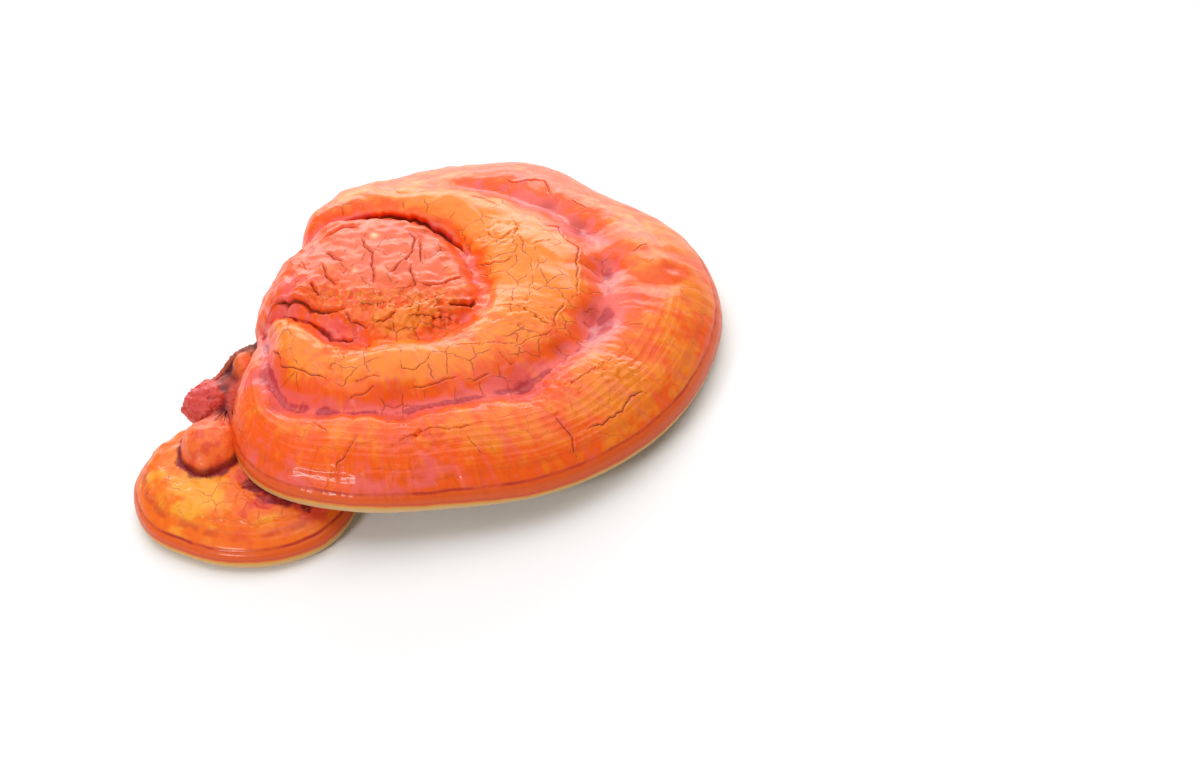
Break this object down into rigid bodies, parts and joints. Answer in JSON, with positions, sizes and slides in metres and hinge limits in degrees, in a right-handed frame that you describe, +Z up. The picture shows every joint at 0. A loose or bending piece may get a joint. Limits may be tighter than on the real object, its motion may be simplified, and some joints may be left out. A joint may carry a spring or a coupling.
{
  "type": "reishi mushroom",
  "caption": "Picked bracket fungus with a domed, ringed cap, a smaller cap beside it and a lumpy stub cut off flat behind.",
  "frame": {"origin": "middle of the bounding box's bottom, on the surface that the mushroom lies on", "axes": "+Z up from that surface; +X to the large cap's right and +Y away from the side the picture was taken from"},
  "size_m": [0.1992, 0.1782, 0.0413],
  "materials": {
    "cap_crust": "gloss",
    "small_cap_crust": "gloss",
    "stub_crust": "matte"
  },
  "bodies": {
    "root": {"cap": "cap_crust", "small_cap": "small_cap_crust", "stub": "stub_crust"}
  },
  "joints": []
}
